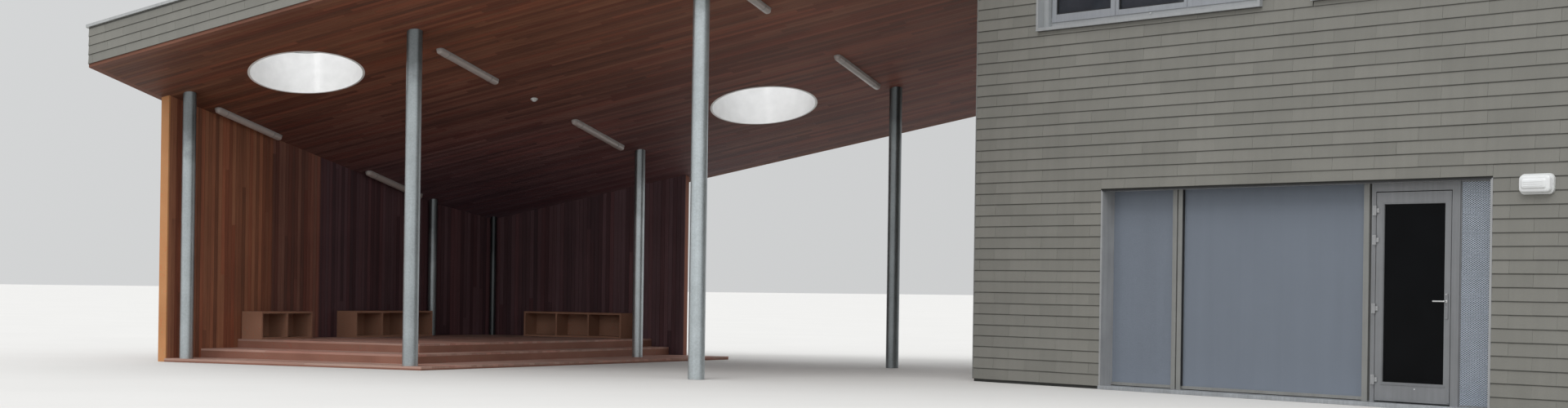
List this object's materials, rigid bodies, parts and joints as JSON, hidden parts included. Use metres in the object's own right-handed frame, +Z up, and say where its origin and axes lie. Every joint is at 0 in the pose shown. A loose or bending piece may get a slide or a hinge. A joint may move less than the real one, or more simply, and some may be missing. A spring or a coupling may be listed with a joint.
{
  "type": "school building with open-air classroom",
  "caption": "Two-storey slate-clad school block with a glazed door and sun screens, joined to a timber-lined canopy on steel tubes over a stepped deck.",
  "frame": {"origin": "middle of the block's plan at floor level, on the underside of its ground floor", "axes": "+X along the block's front to the right, +Y from the front to the back, +Z up"},
  "size_m": [24.0811, 17.5955, 7.62],
  "materials": {
    "slate_wall": "fibre slates",
    "inner_concrete": "fair-faced concrete",
    "roof_membrane": "felt",
    "coping_metal": "folded sheet",
    "pale_lining": "anodised sheet",
    "threshold_metal": "ribbed",
    "frame_paint": "powder coated",
    "door_paint": "powder coated",
    "screen_cloth": "woven sun screen",
    "glass": "clear",
    "steel_fittings": "satin",
    "perforated_sheet": "perforated",
    "white_plastic": "satin",
    "opal_plastic": "opal",
    "soffit_timber": "oiled hardwood boards",
    "wall_timber": "oiled hardwood boards",
    "deck_timber": "weathered hardwood boards",
    "bench_timber": "hardwood",
    "trim_timber": "pale timber",
    "galvanised_steel": "galvanised"
  },
  "bodies": {
    "building": {"back_bench": "bench_timber", "back_columns": "galvanised_steel", "back_fascia": "slate_wall", "back_timber_wall": "wall_timber", "back_wall": "slate_wall", "bulkhead_light_base": "white_plastic", "bulkhead_light_lens": "opal_plastic", "canopy_coping": "coping_metal", "canopy_roof": "roof_membrane", "canopy_soffit": "soffit_timber", "ceiling_lights": "opal_plastic", "corner_tube": "galvanised_steel", "door_frame": "frame_paint", "flat_roof": "roof_membrane", "frame_hinges": "steel_fittings", "front_columns": "galvanised_steel", "front_fascia": "slate_wall", "front_wall_left": "slate_wall", "front_wall_over": "slate_wall", "front_wall_right": "slate_wall", "ground_floor": "inner_concrete", "left_benches": "bench_timber", "left_fascia": "slate_wall", "left_side_wall": "slate_wall", "left_timber_wall": "wall_timber", "lower_deck": "deck_timber", "middle_deck": "deck_timber", "motion_sensor": "white_plastic", "narrow_screen": "screen_cloth", "opening_lining": "pale_lining", "parapet_coping": "coping_metal", "perforated_panel": "perforated_sheet", "right_fascia": "slate_wall", "right_side_wall": "slate_wall", "rooflight_domes": "opal_plastic", "rooflight_shafts": "white_plastic", "screen_bottom_bars": "frame_paint", "screen_boxes": "frame_paint", "screen_posts": "pale_lining", "threshold": "threshold_metal", "upper_deck": "deck_timber", "upper_floor": "inner_concrete", "wall_end_trim": "trim_timber", "wide_screen": "screen_cloth", "window_frames": "frame_paint", "window_glass": "glass", "window_surrounds": "pale_lining"},
    "door": {"door_leaf": "door_paint", "door_glass": "glass", "leaf_hinges": "steel_fittings", "door_lock_plates": "steel_fittings"},
    "lever": {"door_levers": "steel_fittings"}
  },
  "joints": [
    {"name": "door_hinge", "type": "hinge", "parent": "building", "child": "door", "pos_m": [1.234, -4.128, 0.045], "axis": [0, 0, -1], "range_deg": [0, 105]},
    {"name": "lever_pivot", "type": "hinge", "parent": "door", "child": "lever", "pos_m": [2.218, -4.115, 1.18], "axis": [0, -1, 0], "range_deg": [0, 40], "stiffness_Nm_per_rad": 2, "springref_deg": -11.46}
  ]
}
